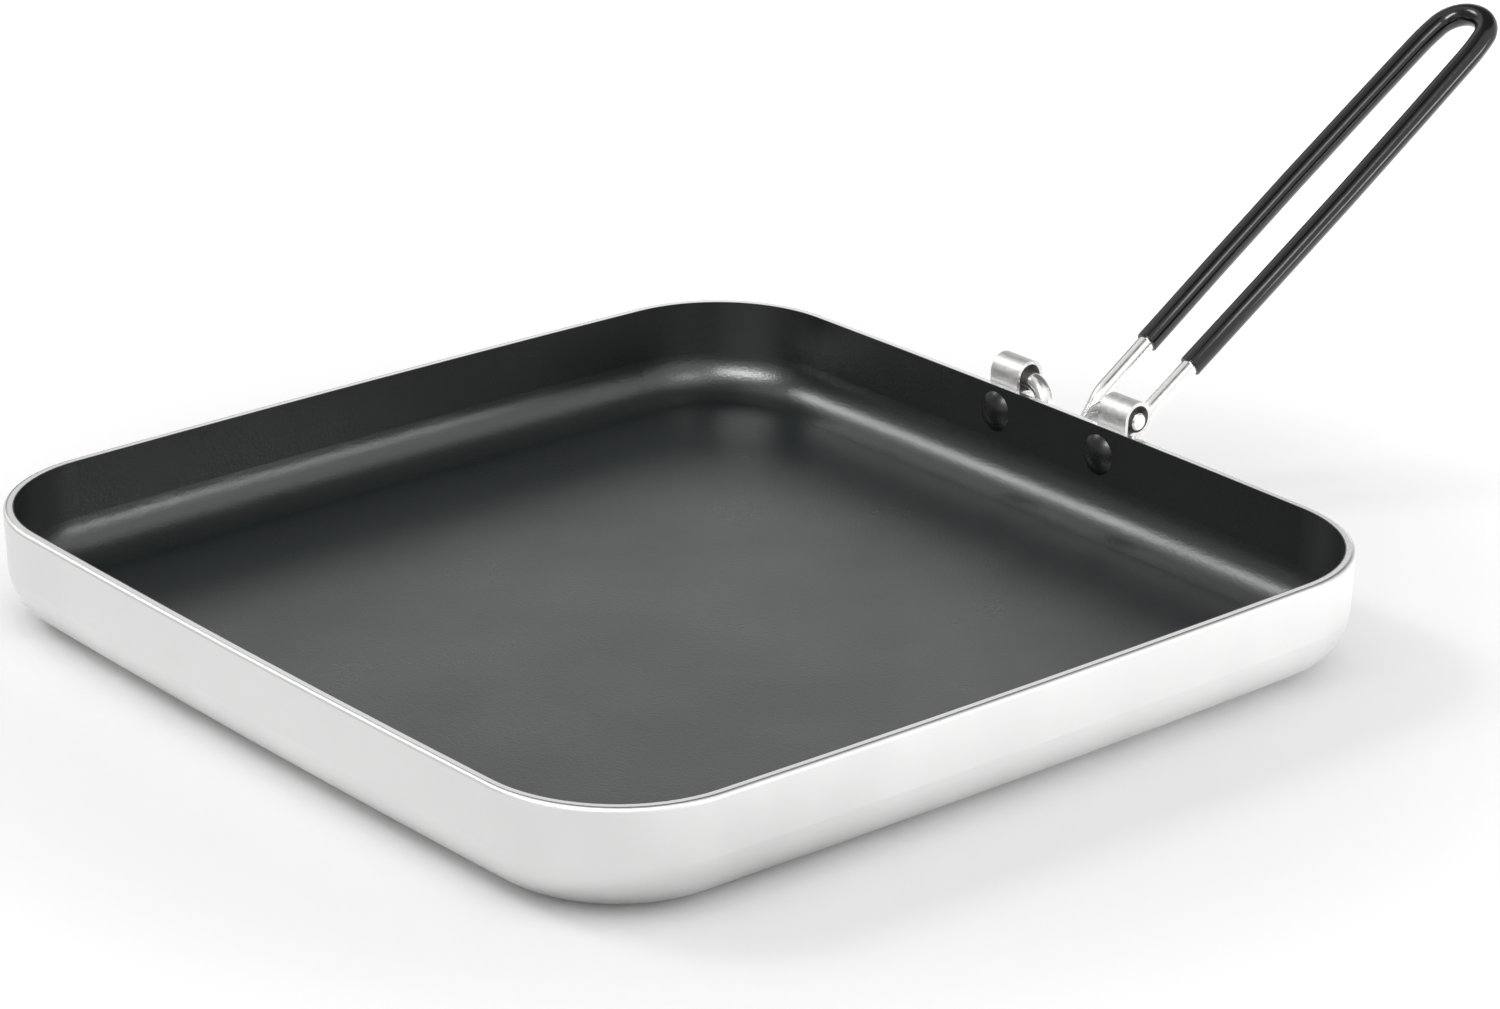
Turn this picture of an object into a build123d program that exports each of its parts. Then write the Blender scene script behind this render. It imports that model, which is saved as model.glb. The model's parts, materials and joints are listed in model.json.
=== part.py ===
# A square frying pan of pressed aluminium with a folding handle of bent wire.
#
# Frame, in millimetres: the origin is at the middle of the flat underside, +Z is up, +Y runs out from the
# pan to the handle, and +X runs along the hinge to the right-hand bracket. The handle is drawn in its
# cooking position, with its lower bends resting on the wall.
import os
from math import atan, atan2, cos, radians, sin, sqrt, tan

from build123d import *

# Tray
pan_width = 260.0            # across the middle of two opposite walls, outside
pan_height = 28.0
sheet_thickness = 2.3
wall_draft = 2.0             # degrees that each wall leans outwards
rim_corner_radius = 35.5     # inside the rim
side_bow = 2.05              # how far the middle of a wall stands out from its corners
base_round_share = 0.482     # of the pan's height, taken by the round from wall to underside
rim_edge_round = 1.0         # outside edge of the flat machined rim

# Non-stick lining
lining_thickness = 0.3

# Hinge brackets, each one folded strap, and their rivets
bracket_spacing = 40.8       # middle of one strap to middle of the other
strap_width = 10.2
strap_thickness = 1.0
strap_above_round = 1.9      # from the strap's lower end to where the wall starts to round under
strap_end_radius = 2.4
strap_return_radius = 1.65   # bend where the strap turns down again below its loop
ply_gap = 0.05               # left between the strap's two plies
loop_above_rim = 2.4         # middle of the loop
left_rivet_raise = 0.074     # above the middle of the strap's flat part, as a share of that part
right_rivet_raise = 0.0      # the same for the right one
left_rivet_inset = 0.0       # how much nearer the pan's middle each rivet is than its strap's middle
right_rivet_inset = 1.8
shank_radius = 2.0
dome_above_round = 1.2       # from the domes' lower edge to where the wall starts to round under
dome_height = 2.0
tail_lip = 0.8               # how far the set tail reaches beyond its shank
tail_height = 1.3

# Handle wire, by the run of its centre line
wire_radius = 2.4
loop_clearance = 1.2         # from the wire to its loop, if it lay in the middle
wire_drop_in_loop = 0.8      # the wire lies this much below the middle of its loop
wire_out_in_loop = 0.3       # and this much outside it
wire_beyond_bracket = 0.3
wire_tip_bevel = 0.4
straight_beside_strap = 0.6  # from each strap to where its wire starts to bend down
corner_bend_radius = 6.0
wall_gap = 0.15              # between the hanging runs and the wall that stops them
hanging_depth = 20.8         # from the hinge down to the bottom run
bottom_run = 14.4            # from turning point to turning point
bottom_run_straight = 1.8    # the part of it between its two bends
leg_bend_radius = 12.0

# Grip, on a line that passes below the hinge; distances along it start beside the hinge
grip_slope = 32.5            # degrees above level
grip_line_drop = 16.5        # square to the grip's line, from the hinge
leg_bend_distance = 13.4
leg_bend_spacing = 17.9
waist_distance = 97.4        # where the two legs stand furthest apart
waist_spacing = 19.7
shoulder_distance = 157.3
shoulder_spacing = 17.8
nose_beyond_shoulder = 11.4
nose_taper = 9.0             # degrees that each leg turns in from shoulder to nose
nose_straight = 0.3          # between the nose's two quarter bends
waist_bend_radius = 2500.0
shoulder_bend_radius = 60.0

# Grip sleeve, cut a little longer on the right leg
sleeve_wall = 0.75
sleeve_start_right = 31.0
sleeve_start_left = 33.3
sleeve_end_round = 0.25

half_inside = pan_width / 2 - sheet_thickness
draft_run = tan(radians(wall_draft))
base_radius = base_round_share * pan_height
straight_wall = pan_height - base_radius
strap_below_rim = straight_wall - strap_above_round
loop_bore_radius = wire_radius + loop_clearance
tail_radius = shank_radius + tail_lip


def outline_centres():
    """Radius and middle of a side arc, and the middle of a corner arc, for the inside of the rim."""
    side_radius = (half_inside**2 + side_bow**2) / (2 * side_bow)
    side_middle = half_inside - side_radius
    reach = side_radius - rim_corner_radius
    corner_middle = (side_middle + sqrt(2 * reach**2 - side_middle**2)) / 2
    return side_radius, side_middle, corner_middle


side_radius, side_middle, corner_middle = outline_centres()


def outline(level, offset):
    """Face across the pan at a height, parallel to the inside of the wall and `offset` outside it."""
    grow = offset - (pan_height - level) * draft_run
    tangent_angle = atan2(corner_middle, corner_middle - side_middle)

    def on_side(angle):
        radius = side_radius + grow
        return side_middle + radius * cos(angle), radius * sin(angle)

    def on_corner(angle):
        radius = rim_corner_radius + grow
        return corner_middle + radius * cos(angle), corner_middle + radius * sin(angle)

    edges = []
    for quarter in range(4):
        turn = Location((0, 0, level), (0, 0, 90 * quarter))
        side = ThreePointArc(on_side(-tangent_angle), on_side(0), on_side(tangent_angle))
        corner = ThreePointArc(
            on_corner(tangent_angle), on_corner(radians(45)), on_corner(radians(90) - tangent_angle)
        )
        edges += [turn * side, turn * corner]
    return make_face(edges)


def tray(bottom, top, offset, bottom_radius):
    """Solid block of the pan's plan between two heights, with a rounded lower edge."""
    block = extrude(outline(bottom, offset), amount=top - bottom, taper=-wall_draft)
    lower_edges = block.faces().sort_by(Axis.Z)[0].edges()
    return fillet(lower_edges, bottom_radius)


def outside_wall(x):
    """How far out the outside of the wall stands at rim level, at a distance along the hinge."""
    return side_middle + sqrt((side_radius + sheet_thickness) ** 2 - x**2)


# The brackets are drawn in the wall's own frame: y out from the wall's face, z up it from the rim.
# A strap is flat and the wall is slightly bowed, so the strap touches it along its inner edge.
seat_x = bracket_spacing / 2 - strap_width / 2
seat = Location((0, outside_wall(seat_x), pan_height), (-wall_draft, 0, 0))
loop_out = strap_thickness + loop_bore_radius
loop_middle = (seat * Location((0, loop_out, loop_above_rim))).position
hinge_y = loop_middle.Y + wire_out_in_loop
hinge_z = loop_middle.Z - wire_drop_in_loop

# Middle of the strap's loop and return bend, and where the flat part below them starts
first_ply = strap_thickness / 2
second_ply = first_ply + strap_thickness + ply_gap
loop_radius = loop_bore_radius + strap_thickness / 2
between_middles = loop_radius + strap_return_radius
return_out = second_ply + strap_return_radius
return_up = loop_above_rim - sqrt(between_middles**2 - (return_out - loop_out) ** 2)

# The rivets, side -1 for left and 1 for right
flat_length = strap_below_rim + return_up
flat_middle = strap_below_rim - flat_length / 2
dome_radius = straight_wall - flat_middle - dome_above_round
rivet_below_rim = {
    -1: flat_middle - left_rivet_raise * flat_length,
    1: flat_middle - right_rivet_raise * flat_length,
}
rivet_distance = {-1: bracket_spacing / 2 - left_rivet_inset, 1: bracket_spacing / 2 - right_rivet_inset}


def rivet_place(side):
    """Where a rivet's axis meets the wall's face."""
    return seat * Location((side * rivet_distance[side], 0, -rivet_below_rim[side]))


def make_rivet(side):
    """Domed head on the lining, shank through the wall and strap, and a set tail outside."""
    wall_curve = outside_wall(seat_x) - outside_wall(rivet_distance[side] + dome_radius)
    head_seat = -(sheet_thickness + lining_thickness + wall_curve) * cos(radians(wall_draft))
    tail_seat = 2 * strap_thickness + ply_gap

    def dome_arc(radius, height, seat_at, way):
        sphere = (radius**2 + height**2) / (2 * height)
        half_angle = atan2(radius, sphere - height) / 2
        middle = (sphere * sin(half_angle), seat_at + way * (height - sphere + sphere * cos(half_angle)))
        return ThreePointArc((radius, seat_at), middle, (0, seat_at + way * height))

    profile = [
        dome_arc(dome_radius, dome_height, head_seat, -1),
        Line((dome_radius, head_seat), (shank_radius, head_seat)),
        Line((shank_radius, head_seat), (shank_radius, tail_seat)),
        Line((shank_radius, tail_seat), (tail_radius, tail_seat)),
        dome_arc(tail_radius, tail_height, tail_seat, 1),
        Line((0, tail_seat + tail_height), (0, head_seat - dome_height)),
    ]
    return rivet_place(side) * revolve(make_face(profile), axis=Axis.Y)


def rivet_hole(side):
    """The round hole that a rivet's shank fills."""
    length = 6 * sheet_thickness
    return rivet_place(side) * Rot(90, 0, 0) * Cylinder(shank_radius, length)


def make_pan_body():
    """Pressed tray with a flat machined rim, round on its outer edge, and two rivet holes."""
    body = tray(0, pan_height, sheet_thickness, base_radius)
    inside_radius = base_radius - sheet_thickness
    body -= tray(sheet_thickness, pan_height, 0, inside_radius)
    rim_face = body.faces().sort_by(Axis.Z)[-1]
    body = fillet(rim_face.outer_wire().edges(), rim_edge_round)
    return body - rivet_hole(-1) - rivet_hole(1)


def make_lining():
    """Thin black skin over the whole inside, cut flush with the rim."""
    inside_radius = base_radius - sheet_thickness
    lining_floor = sheet_thickness + lining_thickness
    skin = tray(sheet_thickness, pan_height, 0, inside_radius)
    skin -= tray(lining_floor, pan_height, -lining_thickness, inside_radius - lining_thickness)
    return skin - rivet_hole(-1) - rivet_hole(1)


def make_bracket(side):
    """One strap: up the wall, over the wire, back under it and down again over its own first ply."""
    meet = loop_radius / between_middles
    meet_out = loop_out + meet * (return_out - loop_out)
    meet_up = loop_above_rim + meet * (return_up - loop_above_rim)
    far_up = loop_above_rim + loop_radius * sin(radians(45))
    far_out = loop_out + loop_radius * cos(radians(45))

    # middle of the return bend: half-way round from where it leaves the loop to straight down
    leave_angle = atan2(meet_up - return_up, meet_out - return_out)
    half_way = (leave_angle + radians(180)) / 2
    bend_out = return_out + strap_return_radius * cos(half_way)
    bend_up = return_up + strap_return_radius * sin(half_way)

    run = Wire(
        [
            Line((0, first_ply, -strap_below_rim), (0, first_ply, loop_above_rim)),
            ThreePointArc((0, first_ply, loop_above_rim), (0, far_out, far_up), (0, meet_out, meet_up)),
            ThreePointArc((0, meet_out, meet_up), (0, bend_out, bend_up), (0, second_ply, return_up)),
            Line((0, second_ply, return_up), (0, second_ply, -strap_below_rim)),
        ]
    )
    section = Plane(run @ 0, x_dir=(1, 0, 0), z_dir=run % 0) * Rectangle(strap_width, strap_thickness)
    strap = sweep(section, run)
    end_corners = strap.edges().filter_by(Axis.Y).group_by(Axis.Z)[0]
    strap = fillet(end_corners, strap_end_radius)
    return seat * Pos(side * bracket_spacing / 2, 0, 0) * strap - rivet_hole(side)


def on_grip(distance, half_spacing):
    """A point of the right leg on the grip's line."""
    slope = radians(grip_slope)
    start_y = hinge_y + grip_line_drop * sin(slope)
    start_z = hinge_z - grip_line_drop * cos(slope)
    return half_spacing, start_y + distance * cos(slope), start_z + distance * sin(slope)


def mirrored(points):
    """The same points on the left, in the opposite order."""
    return [(-x, y, z) for x, y, z in reversed(points)]


nose_spacing = shoulder_spacing - 2 * nose_beyond_shoulder * tan(radians(nose_taper))
nose_bend_radius = (nose_spacing - nose_straight) / 2 / tan(radians(90 - nose_taper) / 2)
grip_turns = [
    on_grip(waist_distance, waist_spacing / 2),
    on_grip(shoulder_distance, shoulder_spacing / 2),
    on_grip(shoulder_distance + nose_beyond_shoulder, nose_spacing / 2),
]
grip_radii = [waist_bend_radius, shoulder_bend_radius, nose_bend_radius]


def hinge_end():
    """The right leg's turning points from its tip to the bend below the grip, and its two lower bends."""
    inner_run = bracket_spacing / 2 - strap_width / 2 - straight_beside_strap - corner_bend_radius
    tip_out = bracket_spacing / 2 + strap_width / 2 + wire_beyond_bracket
    bottom = hinge_z - hanging_depth
    leg_bend = on_grip(leg_bend_distance, leg_bend_spacing / 2)

    # The hanging run leans in until it all but touches the wall just above the lower bend
    touch_up = bottom + bottom_run / 2
    touch_out = outside_wall(inner_run) - (pan_height - touch_up) * draft_run + wall_gap + wire_radius
    lean = (hinge_y - touch_out) / (hinge_z - touch_up)
    bottom_near = hinge_y - lean * hanging_depth
    bottom_far = bottom_near + bottom_run

    # Both lower bends have the radius that leaves the bottom run its straight part
    near_turn = radians(90) + atan(lean)
    far_turn = atan2(leg_bend[2] - bottom, leg_bend[1] - bottom_far)
    lower_bend_radius = (bottom_run - bottom_run_straight) / (tan(near_turn / 2) + tan(far_turn / 2))
    points = [
        (tip_out, hinge_y, hinge_z),
        (inner_run, hinge_y, hinge_z),
        (inner_run, bottom_near, bottom),
        (inner_run, bottom_far, bottom),
        leg_bend,
    ]
    return points, lower_bend_radius


def make_handle_wire():
    """One wire from the left bracket, round the grip and back to the right bracket."""
    hinge_points, lower_bend_radius = hinge_end()
    right = hinge_points + grip_turns
    bends = [corner_bend_radius, lower_bend_radius, lower_bend_radius, leg_bend_radius] + grip_radii
    run = FilletPolyline(*right, *mirrored(right), radius=bends + bends[::-1])
    wire = sweep(Plane(run @ 0, z_dir=run % 0) * Circle(wire_radius), run)
    tips = [face for face in wire.faces() if face.geom_type == GeomType.PLANE]
    return chamfer([edge for face in tips for edge in face.edges()], wire_tip_bevel)


def leg_at(distance):
    """A point of the right leg between its bend and the grip's waist."""
    part_way = (distance - leg_bend_distance) / (waist_distance - leg_bend_distance)
    spacing = leg_bend_spacing + part_way * (waist_spacing - leg_bend_spacing)
    return on_grip(distance, spacing / 2)


def make_grip_sleeve(wire):
    """Black tube drawn over the far part of the wire."""
    start = leg_at(sleeve_start_right)
    end = mirrored([leg_at(sleeve_start_left)])
    radii = grip_radii + grip_radii[::-1]
    run = FilletPolyline(start, *grip_turns, *mirrored(grip_turns), *end, radius=radii)
    outside = sweep(Plane(run @ 0, z_dir=run % 0) * Circle(wire_radius + sleeve_wall), run)
    ends = [face for face in outside.faces() if face.geom_type == GeomType.PLANE]
    outside = fillet([edge for face in ends for edge in face.edges()], sleeve_end_round)
    return outside - wire


handle_wire = make_handle_wire()
pieces = {
    "pan_body": make_pan_body(),
    "nonstick_lining": make_lining(),
    "left_bracket": make_bracket(-1),
    "right_bracket": make_bracket(1),
    "left_rivet": make_rivet(-1),
    "right_rivet": make_rivet(1),
    "handle_wire": handle_wire,
    "grip_sleeve": make_grip_sleeve(handle_wire),
}

print("hinge axis y, z:", round(hinge_y, 3), round(hinge_z, 3))
os.makedirs("parts", exist_ok=True)
for node, piece in pieces.items():
    piece.label = node
    export_step(piece, f"parts/{node}.step")
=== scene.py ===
# A square frying pan with a folding wire handle, finished and lit as on a white studio table.
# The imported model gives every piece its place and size, in metres.
import json
from math import atan, atan2, cos, pi, radians, sin, tan

import bpy
from mathutils import Matrix, Vector


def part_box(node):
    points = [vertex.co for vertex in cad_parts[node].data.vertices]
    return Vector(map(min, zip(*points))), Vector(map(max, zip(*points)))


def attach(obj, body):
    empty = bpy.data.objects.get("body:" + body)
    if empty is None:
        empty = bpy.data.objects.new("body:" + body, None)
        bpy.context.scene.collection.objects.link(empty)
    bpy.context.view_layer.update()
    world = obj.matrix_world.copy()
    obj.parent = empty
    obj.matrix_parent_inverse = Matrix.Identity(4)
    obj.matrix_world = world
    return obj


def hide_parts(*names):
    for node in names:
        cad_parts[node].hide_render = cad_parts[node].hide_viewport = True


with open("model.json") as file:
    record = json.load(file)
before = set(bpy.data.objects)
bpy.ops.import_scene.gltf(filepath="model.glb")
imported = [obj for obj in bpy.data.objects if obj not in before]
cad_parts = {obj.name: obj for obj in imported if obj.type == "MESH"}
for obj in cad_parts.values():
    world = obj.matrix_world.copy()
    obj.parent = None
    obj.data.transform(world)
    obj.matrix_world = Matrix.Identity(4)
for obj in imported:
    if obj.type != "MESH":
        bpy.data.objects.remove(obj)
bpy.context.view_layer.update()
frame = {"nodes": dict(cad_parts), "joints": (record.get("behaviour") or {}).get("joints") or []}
nodes = frame["nodes"]


# The pan body is one pressing of aluminium sheet. Its outside is left bare, with a satin grain that runs round
# the wall and soft clouds from polishing. Its rim is machined flat after the inside is coated, so it shines more.
def new_finish(name):
    """An empty material, with its tree and its shader."""
    finish = bpy.data.materials.new(name)
    finish.use_nodes = True
    return finish, finish.node_tree, finish.node_tree.nodes["Principled BSDF"]


def set_inputs(node, **values):
    """Sets a node's own sockets, named with _ for each space."""
    for name, value in values.items():
        node.inputs[name.replace("_", " ")].default_value = value


def on_piece(tree):
    """Places on the piece itself, in metres, which move with it."""
    return tree.nodes.new("ShaderNodeTexCoord").outputs["Object"]


def turned(tree, place, stretch=(1, 1, 1), tilt=0.0):
    """Places turned about X by a tilt, then drawn out along each axis."""
    turn = tree.nodes.new("ShaderNodeMapping")
    turn.inputs["Rotation"].default_value = (tilt, 0, 0)
    draw = tree.nodes.new("ShaderNodeMapping")
    draw.inputs["Scale"].default_value = stretch
    tree.links.new(place, turn.inputs["Vector"])
    tree.links.new(turn.outputs["Vector"], draw.inputs["Vector"])
    return draw.outputs["Vector"]


def grain(tree, place, per_metre, detail=3.0, roughness=0.5):
    """Irregular grain, from 0 to 1 about 0.5."""
    node = tree.nodes.new("ShaderNodeTexNoise")
    set_inputs(node, Scale=per_metre, Detail=detail, Roughness=roughness)
    tree.links.new(place, node.inputs["Vector"])
    return node.outputs["Fac"]


def spread(tree, value, low, high, start, end):
    """A value between low and high, spread smoothly over start to end."""
    node = tree.nodes.new("ShaderNodeMapRange")
    node.interpolation_type = "SMOOTHSTEP"
    for name, number in zip(("From Min", "From Max", "To Min", "To Max"), (low, high, start, end)):
        node.inputs[name].default_value = number
    tree.links.new(value, node.inputs["Value"])
    return node.outputs["Result"]


def varied(tree, pattern, low, high):
    """A value that a pattern varies from low to high."""
    rarely_below, rarely_above = 0.3, 0.7
    return spread(tree, pattern, rarely_below, rarely_above, low, high)


def blended(tree, part, first, second):
    """One number in place of another, by a share. Each is a number or a socket."""
    node = tree.nodes.new("ShaderNodeMix")
    tree.links.new(part, node.inputs[0])
    for socket, value in zip(node.inputs[2:4], (first, second)):
        if isinstance(value, (int, float)):
            socket.default_value = value
        else:
            tree.links.new(value, socket)
    return node.outputs[0]


def tinted(tree, part, first, second):
    """One colour in place of another, by a share. Each is a colour or a socket."""
    node = tree.nodes.new("ShaderNodeMix")
    node.data_type = "RGBA"
    tree.links.new(part, node.inputs[0])
    for socket, colour in zip(node.inputs[6:8], (first, second)):
        if isinstance(colour, tuple):
            socket.default_value = (*colour, 1)
        else:
            tree.links.new(colour, socket)
    return node.outputs[2]


def axis(tree, place, letter):
    """One of a place's three distances."""
    node = tree.nodes.new("ShaderNodeSeparateXYZ")
    tree.links.new(place, node.inputs[0])
    return node.outputs[letter]


def raise_grain(tree, shader, height, depth):
    """Stands a grain proud of the surface by a depth in metres."""
    node = tree.nodes.new("ShaderNodeBump")
    set_inputs(node, Distance=depth, Strength=1.0)
    tree.links.new(height, node.inputs["Height"])
    tree.links.new(node.outputs["Normal"], shader.inputs["Normal"])


def put_on(piece, finish):
    """Gives a piece one finish all over."""
    piece.data.materials.clear()
    piece.data.materials.append(finish)


def satin_aluminium(rim_level, edge_round):
    """Satin outside, rougher on the rounded edge under the rim with a grey line of painted shade on it, and bright
    on the rim's flat.
    """
    finish, tree, shader = new_finish("satin_aluminium")
    place = on_piece(tree)
    lines = grain(tree, turned(tree, place, stretch=(0.04, 0.04, 1)), per_metre=1600)
    clouds = grain(tree, turned(tree, place, stretch=(1, 1, 0.5)), per_metre=35)
    height = axis(tree, place, "Z")
    flat_starts, flat_full = rim_level - 0.00015, rim_level - 0.00005
    round_starts, round_full = rim_level - edge_round, rim_level - 0.8 * edge_round
    on_rim = spread(tree, height, flat_starts, flat_full, 0, 1)
    on_round = blended(tree, on_rim, spread(tree, height, round_starts, round_full, 0, 1), 0.0)
    round_roughness, rim_roughness = 0.5, 0.24
    shine = blended(tree, on_round, varied(tree, clouds, 0.34, 0.44), round_roughness)
    shine = blended(tree, on_rim, shine, rim_roughness)
    # The rounded edge's grey is painted shade, standing for the darker room that the edge mirrors.
    dull_cloud, bright_cloud, round_painted_shade = (0.8, 0.8, 0.798), (0.87, 0.87, 0.867), (0.7, 0.7, 0.695)
    cloudy = tinted(tree, clouds, dull_cloud, bright_cloud)
    set_inputs(shader, Metallic=1.0)
    tree.links.new(tinted(tree, on_round, cloudy, round_painted_shade), shader.inputs["Base Color"])
    tree.links.new(shine, shader.inputs["Roughness"])
    raise_grain(tree, shader, lines, depth=0.000006)
    return finish


body_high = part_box("pan_body")[1]
put_on(nodes["pan_body"], satin_aluminium(rim_level=body_high.z, edge_round=0.001))


# The lining is a sprayed and baked non-stick coating, a cool grey-black. Its fine pebbled grain sparkles along
# the rounds at the foot of the walls. It covers all of the inside, up to the rim.
def nonstick_coating():
    finish, tree, shader = new_finish("nonstick_coating")
    place = on_piece(tree)
    pebbles = grain(tree, turned(tree, place, tilt=0.6), per_metre=1200, roughness=0.7)
    clouds = grain(tree, place, per_metre=25, detail=4)
    set_inputs(shader, IOR=1.75)
    dark_grey, pale_grey = (0.007, 0.0115, 0.011), (0.009, 0.0145, 0.014)
    tree.links.new(tinted(tree, clouds, dark_grey, pale_grey), shader.inputs["Base Color"])
    tree.links.new(varied(tree, clouds, 0.27, 0.32), shader.inputs["Roughness"])
    raise_grain(tree, shader, pebbles, depth=0.00007)
    return finish


put_on(nodes["nonstick_lining"], nonstick_coating())


# Each bracket is a strap of stainless steel folded over the wire and riveted to the wall. Its rolled faces are
# satin and mottled from handling, and its sheared edges are smoother and catch the light.
def stainless_strap():
    finish, tree, shader = new_finish("stainless_strap")
    place = on_piece(tree)
    lines = grain(tree, turned(tree, place, stretch=(1, 0.1, 0.1)), per_metre=5000)
    mottle = grain(tree, place, per_metre=700, detail=5, roughness=0.65)
    facing = tree.nodes.new("ShaderNodeTexCoord").outputs["Normal"]
    sideways = tree.nodes.new("ShaderNodeMath")
    sideways.operation = "ABSOLUTE"
    tree.links.new(axis(tree, facing, "X"), sideways.inputs[0])
    edge_starts, edge_full = 0.6, 0.9  # how squarely a sheared edge faces left or right
    on_edge = spread(tree, sideways.outputs[0], edge_starts, edge_full, 0, 1)
    edge_roughness = 0.25
    shine = blended(tree, on_edge, varied(tree, mottle, 0.4, 0.55), edge_roughness)
    dark_steel, pale_steel = (0.5, 0.495, 0.49), (0.8, 0.795, 0.79)
    set_inputs(shader, Metallic=1.0)
    tree.links.new(tinted(tree, mottle, dark_steel, pale_steel), shader.inputs["Base Color"])
    tree.links.new(shine, shader.inputs["Roughness"])
    raise_grain(tree, shader, lines, depth=0.00001)
    return finish


strap = stainless_strap()
for side in ("left", "right"):
    put_on(nodes[side + "_bracket"], strap)


# Each rivet is aluminium. Its domed head inside the pan is coated black with the lining, and its small tail,
# set down on the strap outside, is left bare.
def rivet_finish(wall_outside):
    """Black on the pan's side of the wall's outside, and bare metal beyond it."""
    finish, tree, shader = new_finish("coated_rivet")
    place = on_piece(tree)
    pebbles = grain(tree, place, per_metre=2200, detail=2, roughness=0.6)
    tail_starts, tail_full = wall_outside, wall_outside + 0.0002
    bare = spread(tree, axis(tree, place, "Y"), tail_starts, tail_full, 0, 1)
    tail_roughness = 0.38
    shine = blended(tree, bare, varied(tree, pebbles, 0.24, 0.32), tail_roughness)
    black, bare_grey = (0.013, 0.0135, 0.0135), (0.8, 0.8, 0.795)
    tree.links.new(tinted(tree, bare, black, bare_grey), shader.inputs["Base Color"])
    tree.links.new(bare, shader.inputs["Metallic"])
    tree.links.new(shine, shader.inputs["Roughness"])
    raise_grain(tree, shader, pebbles, depth=0.000012)
    return finish


head_and_tail = rivet_finish(body_high.y)
for side in ("left", "right"):
    put_on(nodes[side + "_rivet"], head_and_tail)


# The handle is one length of drawn stainless wire, bent cold and polished, with its ends turned out into the
# brackets' loops. Faint lines from the drawing die run along it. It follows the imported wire's own line, in finer
# rings, because what is polished shows every facet. The right leg is given, and the left one mirrors it.
wire_radius = 0.0024
tip_bevel = 0.0004
straight_beside_strap = 0.0006
corner_bend_radius = 0.006
hanging_depth = 0.0208  # from the hinge down to the bottom run
hanging_lean = 0.004338  # how much nearer the pan its foot is than the hinge
bottom_run = 0.0144
bottom_run_straight = 0.0018  # the part of it between its two bends
leg_bend_radius = 0.012

# The grip lies on a line that passes below the hinge, and its distances start beside the hinge
grip_slope = radians(32.5)
grip_line_drop = 0.0165
leg_bend_distance, leg_bend_spacing = 0.0134, 0.0179
waist_distance, waist_spacing, waist_bend_radius = 0.0974, 0.0197, 2.5
shoulder_distance, shoulder_spacing, shoulder_bend_radius = 0.1573, 0.0178, 0.06
nose_beyond_shoulder = 0.0114
nose_taper = radians(9)  # how far each leg turns in from shoulder to nose
nose_straight = 0.0003
nose_spacing = shoulder_spacing - 2 * nose_beyond_shoulder * tan(nose_taper)
nose_bend_radius = (nose_spacing - nose_straight) / 2 / tan((radians(90) - nose_taper) / 2)
hinge = Vector(frame["joints"][0]["pos_m"])


def on_grip(distance, spacing):
    """A point of the right leg on the grip's line, where the two legs stand a spacing apart."""
    along = Vector((0, cos(grip_slope), sin(grip_slope)))
    below = Vector((0, sin(grip_slope), -cos(grip_slope)))
    return hinge + Vector((spacing / 2, 0, 0)) + below * grip_line_drop + along * distance


def on_left(points):
    """The same points on the left leg, in the opposite order."""
    return [Vector((-point.x, point.y, point.z)) for point in reversed(points)]


def hinge_end():
    """The right leg's turning points from its tip to the bend below the grip, and its lower bends' radius."""
    inner_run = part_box("right_bracket")[0].x - straight_beside_strap - corner_bend_radius
    tip_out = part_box("handle_wire")[1].x
    bottom_near = Vector((inner_run, hinge.y - hanging_lean, hinge.z - hanging_depth))
    bottom_far = bottom_near + Vector((0, bottom_run, 0))
    leg_bend = on_grip(leg_bend_distance, leg_bend_spacing)
    near_turn = radians(90) + atan(hanging_lean / hanging_depth)
    far_turn = atan2(leg_bend.z - bottom_far.z, leg_bend.y - bottom_far.y)
    lower_bend_radius = (bottom_run - bottom_run_straight) / (tan(near_turn / 2) + tan(far_turn / 2))
    tip, corner = Vector((tip_out, hinge.y, hinge.z)), Vector((inner_run, hinge.y, hinge.z))
    return [tip, corner, bottom_near, bottom_far, leg_bend], lower_bend_radius


def bent_line(turns, bends):
    """Close points along a line that turns with a given bend radius at each inner point."""
    bend_step = radians(3)
    line = [turns[0]]
    for before, corner, after, radius in zip(turns, turns[1:], turns[2:], bends):
        back = (before - corner).normalized()
        ahead = (after - corner).normalized()
        half_turn = (radians(180) - back.angle(ahead)) / 2
        middle = corner + (back + ahead).normalized() * (radius / cos(half_turn))
        first = (corner + back * radius * tan(half_turn) - middle).normalized()
        last = (corner + ahead * radius * tan(half_turn) - middle).normalized()
        steps = max(2, round(2 * half_turn / bend_step))
        line += [middle + first.slerp(last, step / steps) * radius for step in range(steps + 1)]
    return line + [turns[-1]]


def frames_along(line):
    """Each point of a line with its direction and a direction square to it that never twists."""
    across = (line[1] - line[0]).orthogonal().normalized()
    frames = []
    for before, point, after in zip(line[:1] + line, line, line[1:] + line[-1:]):
        way = (after - before).normalized()
        across = (across - way * across.dot(way)).normalized()
        frames.append((point, way, across))
    return frames


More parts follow.
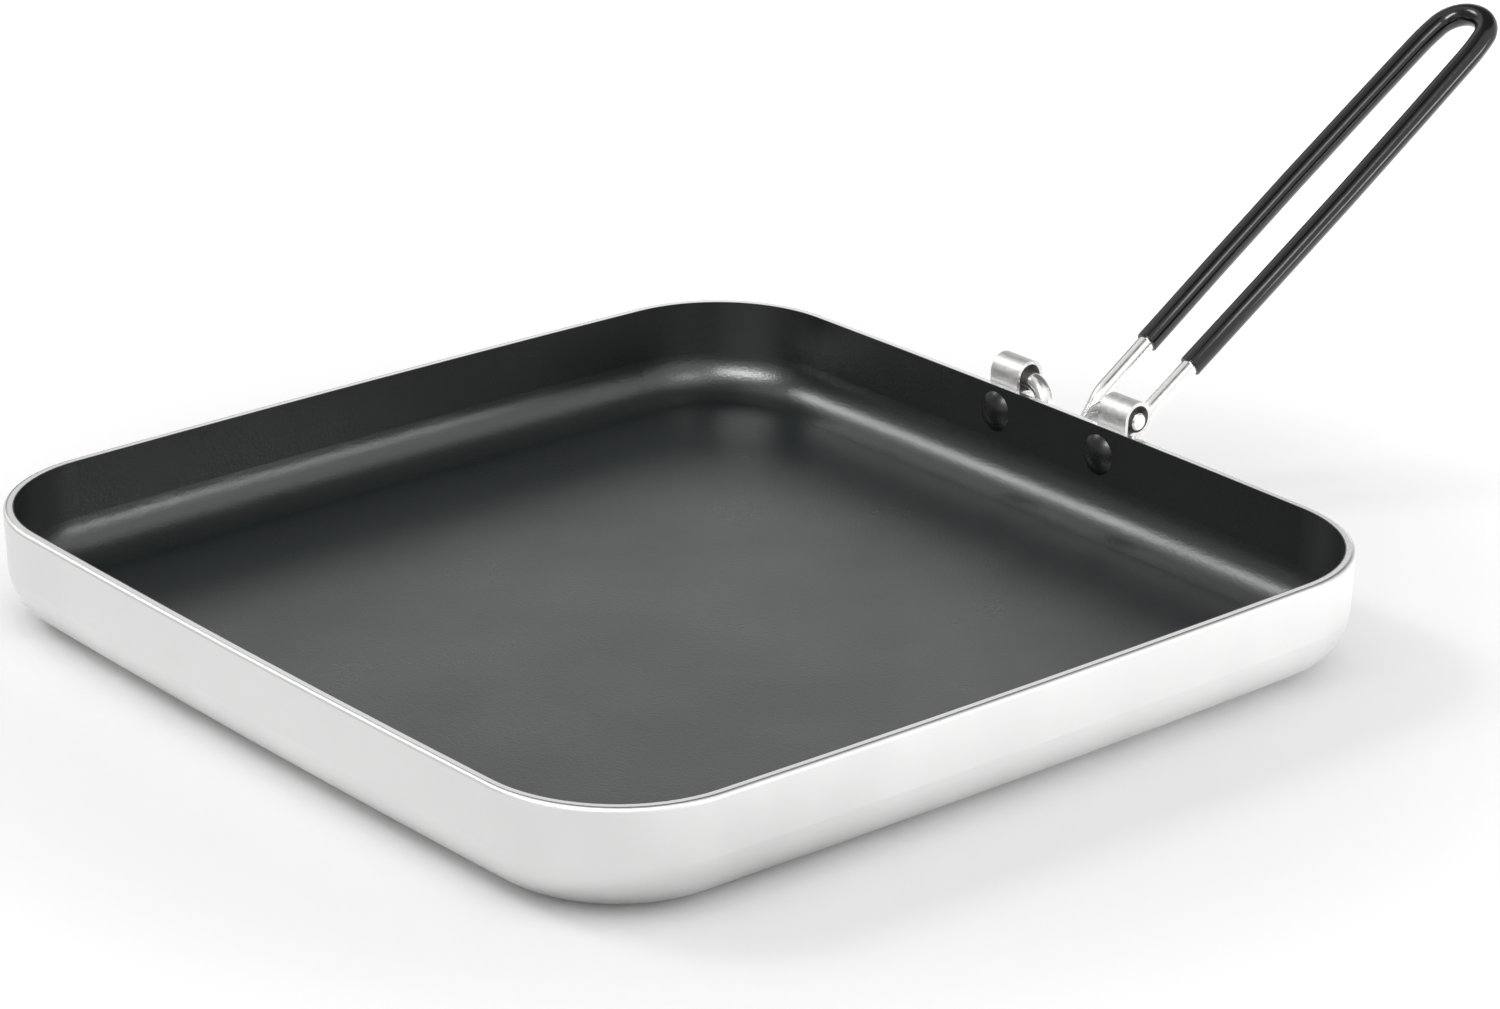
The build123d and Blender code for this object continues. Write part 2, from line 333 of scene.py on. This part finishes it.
def round_tube(name, line, end_rings):
    """A tube round a line. Each end ring has its distance from the line's end and its radius, outermost first."""
    sides = 56
    sharp_angle = radians(35)
    frames = frames_along(line)
    first, last = frames[0], frames[-1]
    end_length, radius = end_rings[-1]

    def clear_of_ends(point):
        return min((point - first[0]).length, (point - last[0]).length) > 2 * end_length

    rings = [(first[0] + first[1] * inwards, *first[1:], size) for inwards, size in end_rings]
    rings += [(*place, radius) for place in frames if clear_of_ends(place[0])]
    rings += [(last[0] - last[1] * inwards, *last[1:], size) for inwards, size in reversed(end_rings)]
    corners = []
    for middle, way, out, size in rings:
        side = way.cross(out)
        for turn in range(sides):
            angle = radians(360) * turn / sides
            corners.append(middle + (out * cos(angle) + side * sin(angle)) * size)
    faces = []
    for ring in range(len(rings) - 1):
        for turn in range(sides):
            here, beside = ring * sides + turn, ring * sides + (turn + 1) % sides
            faces.append((here, beside, beside + sides, here + sides))
    mesh = bpy.data.meshes.new(name)
    mesh.from_pydata(corners, [], faces)
    mesh.validate()
    mesh.shade_smooth()
    mesh.set_sharp_from_angle(angle=sharp_angle)
    piece = bpy.data.objects.new(name, mesh)
    bpy.context.scene.collection.objects.link(piece)
    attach(piece, "handle")
    return piece


def polished_wire():
    finish, tree, shader = new_finish("polished_wire")
    place = on_piece(tree)
    lines = grain(tree, turned(tree, place, stretch=(1, 0.03, 1), tilt=-grip_slope), per_metre=3000)
    scuffs = grain(tree, place, per_metre=500, detail=4)
    dark_steel, pale_steel = (0.68, 0.675, 0.67), (0.76, 0.755, 0.75)
    set_inputs(shader, Metallic=1.0)
    tree.links.new(tinted(tree, scuffs, dark_steel, pale_steel), shader.inputs["Base Color"])
    tree.links.new(varied(tree, scuffs, 0.19, 0.27), shader.inputs["Roughness"])
    raise_grain(tree, shader, lines, depth=0.000001)
    return finish


hinge_turns, lower_bend_radius = hinge_end()
grip_turns = [
    on_grip(waist_distance, waist_spacing),
    on_grip(shoulder_distance, shoulder_spacing),
    on_grip(shoulder_distance + nose_beyond_shoulder, nose_spacing),
]
hinge_bends = [corner_bend_radius, lower_bend_radius, lower_bend_radius, leg_bend_radius]
grip_bends = [waist_bend_radius, shoulder_bend_radius, nose_bend_radius]
right_turns, right_bends = hinge_turns + grip_turns, hinge_bends + grip_bends
wire_line = bent_line(right_turns + on_left(right_turns), right_bends + right_bends[::-1])
tip_middle = 0.00001  # the tips are closed down to a pinhole of this radius
tip_rings = [(0, tip_middle), (0, wire_radius - tip_bevel), (tip_bevel, wire_radius)]
wire = round_tube("bent_wire", wire_line, tip_rings)
put_on(wire, polished_wire())
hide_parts("handle_wire")


# The sleeve is a tube of glossy black plastic drawn over the far part of the wire, which it grips all round. It
# is cut a little longer on the right leg. The wire's own lines show through it faintly.
sleeve_wall = 0.000745  # 5 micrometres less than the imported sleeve's, to stay inside its box
sleeve_start_right, sleeve_start_left = 0.031, 0.0333
end_round = 0.00025
round_steps = 4


def glossy_sleeve():
    finish, tree, shader = new_finish("glossy_sleeve")
    place = on_piece(tree)
    lines = grain(tree, turned(tree, place, stretch=(1, 0.03, 1), tilt=-grip_slope), per_metre=1500)
    scuffs = grain(tree, place, per_metre=600, detail=4)
    black, worn_black = (0.004, 0.004, 0.0045), (0.007, 0.007, 0.0075)
    set_inputs(shader, IOR=1.5)
    tree.links.new(tinted(tree, scuffs, black, worn_black), shader.inputs["Base Color"])
    tree.links.new(varied(tree, scuffs, 0.12, 0.18), shader.inputs["Roughness"])
    raise_grain(tree, shader, lines, depth=0.000006)
    return finish


def leg_at(distance):
    """A point of the right leg between its bend and the grip's waist."""
    part_way = (distance - leg_bend_distance) / (waist_distance - leg_bend_distance)
    return on_grip(distance, leg_bend_spacing + part_way * (waist_spacing - leg_bend_spacing))


sleeve_turns = [leg_at(sleeve_start_right), *grip_turns, *on_left([leg_at(sleeve_start_left), *grip_turns])]
sleeve_line = bent_line(sleeve_turns, grip_bends + grip_bends[::-1])
sleeve_radius = wire_radius + sleeve_wall
sleeve_rings = [(0, wire_radius), (0, sleeve_radius - end_round)]
for step in range(1, round_steps + 1):
    angle = radians(90) * step / round_steps
    sleeve_rings.append((end_round * (1 - cos(angle)), sleeve_radius - end_round * (1 - sin(angle))))
sleeve = round_tube("black_sleeve", sleeve_line, sleeve_rings)
put_on(sleeve, glossy_sleeve())
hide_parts("grip_sleeve")


# The pan stands on a table covered with white paper, which keeps its shadow. To the camera the paper is brighter
# away from the pan. In what the handle and the walls mirror, the paper glows behind the pan and to its right:
# painted light, seen only in reflections.
def glow(tree, middle, near, far, near_level, far_level):
    """A level that goes smoothly from one value to another between two distances from a place."""
    distance = tree.nodes.new("ShaderNodeVectorMath")
    distance.operation = "DISTANCE"
    distance.inputs[1].default_value = middle
    tree.links.new(on_piece(tree), distance.inputs[0])
    return spread(tree, distance.outputs["Value"], near, far, near_level, far_level)


def white_paper():
    finish, tree, shader = new_finish("white_paper")
    fibres = grain(tree, on_piece(tree), per_metre=400)
    dull_white, bright_white = (0.93, 0.93, 0.93), (0.95, 0.95, 0.95)
    set_inputs(shader, Roughness=1.0, Specular_IOR_Level=0.0, Emission_Color=(1, 1, 1, 1))
    tree.links.new(tinted(tree, fibres, dull_white, bright_white), shader.inputs["Base Color"])
    ray = tree.nodes.new("ShaderNodeLightPath").outputs
    # Painted light: the paper glows behind the pan and to its right for glossy rays only, so the walls and handle
    # mirror light that no lamp gives.
    behind = glow(tree, (0.04, 0.38, 0), near=0.12, far=0.28, near_level=0.9, far_level=0.0)
    beside = glow(tree, (0.5, 0.15, 0), near=0.3, far=0.45, near_level=0.4, far_level=0.0)
    mirrored = tree.nodes.new("ShaderNodeMath")
    mirrored.operation = "ADD"
    tree.links.new(behind, mirrored.inputs[0])
    tree.links.new(beside, mirrored.inputs[1])
    away = glow(tree, (0, 0, 0), near=0.14, far=0.34, near_level=0.05, far_level=0.4)
    seen = blended(tree, ray["Is Glossy Ray"], 0.0, mirrored.outputs[0])
    seen = blended(tree, ray["Is Camera Ray"], seen, away)
    tree.links.new(seen, shader.inputs["Emission Strength"])
    return finish


def table_top(left, right, front, far):
    corners = [(left, front, 0), (right, front, 0), (right, far, 0), (left, far, 0)]
    mesh = bpy.data.meshes.new("table_top")
    mesh.from_pydata(corners, [], [(0, 1, 2, 3)])
    table = bpy.data.objects.new("table_top", mesh)
    bpy.context.scene.collection.objects.link(table)
    return table


put_on(table_top(left=-0.5, right=0.8, front=-0.8, far=0.62), white_paper())


# The room is white and lights the pan mostly from above. What shines sees it white as well, apart from screens
# that stand in it. Each has a direction, its level, and the angles in degrees within which it is full and beyond
# which it is gone.
screens = [
    ((0.95, 0.2, 0.3), 1.2, 25, 60),
    ((-0.7, -0.7, 0.15), 0.45, 25, 50),
    ((-0.25, 0.55, 0.8), 0.18, 28, 42),
    ((0.09, -0.13, 0.99), 0.2, 8, 18),
    ((-0.73, 0.63, 0.2), 1.05, 8, 24),
    ((-0.9, 0.3, 0.2), 0.35, 8, 18),
    ((-0.83, 0.55, -0.12), 0.05, 10, 20),
    ((0.7, -0.7, -0.1), 0.5, 15, 30),
]
light_comes_from = (-0.3, 0.35, 0.89)
light_away, light_towards = 0.05, 1.05
cosine_away, cosine_towards = -0.1, 0.9


def white_room():
    room = bpy.data.worlds.new("white_room")
    room.use_nodes = True
    tree = room.node_tree
    way = tree.nodes.new("ShaderNodeTexCoord").outputs["Generated"]
    ray = tree.nodes.new("ShaderNodeLightPath").outputs
    walls = tree.nodes["Background"]

    def nearness(direction):
        """The cosine of the angle from a direction."""
        near = tree.nodes.new("ShaderNodeVectorMath")
        near.operation = "DOT_PRODUCT"
        near.inputs[1].default_value = Vector(direction).normalized()
        tree.links.new(way, near.inputs[0])
        return near.outputs["Value"]

    mirrored = 1.0
    for direction, level, full, gone in screens:
        share = spread(tree, nearness(direction), cos(radians(gone)), cos(radians(full)), 0, 1)
        mirrored = blended(tree, share, mirrored, level)
    above = nearness(light_comes_from)
    plain = spread(tree, above, cosine_away, cosine_towards, light_away, light_towards)
    shiny = tree.nodes.new("ShaderNodeMath")
    shiny.operation = "MAXIMUM"
    tree.links.new(ray["Is Glossy Ray"], shiny.inputs[0])
    tree.links.new(ray["Is Transmission Ray"], shiny.inputs[1])
    seen = blended(tree, shiny.outputs[0], plain, mirrored)
    seen = blended(tree, ray["Is Camera Ray"], seen, 1.0)
    tree.links.new(seen, walls.inputs["Strength"])
    walls.inputs["Color"].default_value = (1, 1, 1, 1)
    return room


bpy.context.scene.world = white_room()


# Four soft boxes stand well away from the pan, all facing it. They give the streaks on the coating and on the
# handle. Only the left one lights the table, so the pan keeps one soft shadow.
box_distance = 4.0


def soft_box(name, direction, width, height, radiance, lights_table=False):
    """A lamp that faces the pan from a direction, as bright as a surface of that radiance."""
    data = bpy.data.lights.new(name, "AREA")
    data.shape = "RECTANGLE"
    data.size = width
    data.size_y = height
    data.energy = radiance * pi * width * height
    lamp = bpy.data.objects.new(name, data)
    bpy.context.scene.collection.objects.link(lamp)
    way = Vector(direction).normalized()
    lamp.location = way * box_distance
    lamp.rotation_euler = way.to_track_quat("Z", "Y").to_euler()
    lamp.visible_camera = False
    lamp.visible_diffuse = lights_table


soft_box("soft_box_low_right", (0.8, 0.58, 0.11), width=1.4, height=0.55, radiance=8)
soft_box("soft_box_left", (-0.707, -0.3, 0.63), width=1.1, height=1.0, radiance=9, lights_table=True)
soft_box("soft_box_right", (0.66, 0.0, 0.75), width=0.8, height=0.9, radiance=7)
soft_box("soft_box_front", (0.3, -0.69, 0.66), width=2.8, height=0.9, radiance=18)


# The camera stands off the corner between the front and right walls, and looks slightly down. Its place and lens
# were fitted to the rim of the pan in the picture.
camera_azimuth = radians(49.469)
camera_elevation = radians(21.588)
camera_roll = radians(0.58)
camera_distance = 1.1714
focal_length = 114.3  # in millimetres
camera_aim = Vector((0.0109, 0.0151, 0.0318))
level_back = Vector((sin(camera_azimuth), -cos(camera_azimuth), 0))
back = level_back * cos(camera_elevation) + Vector((0, 0, sin(camera_elevation)))
lens = bpy.data.cameras.new("camera")
lens.lens = focal_length
camera = bpy.data.objects.new("camera", lens)
bpy.context.scene.collection.objects.link(camera)
turn = back.to_track_quat("Z", "Y").to_matrix() @ Matrix.Rotation(camera_roll, 3, "Z")
camera.matrix_world = Matrix.Translation(camera_aim + back * camera_distance) @ turn.to_4x4()
bpy.context.scene.camera = camera
bpy.context.scene.view_settings.view_transform = "Standard"
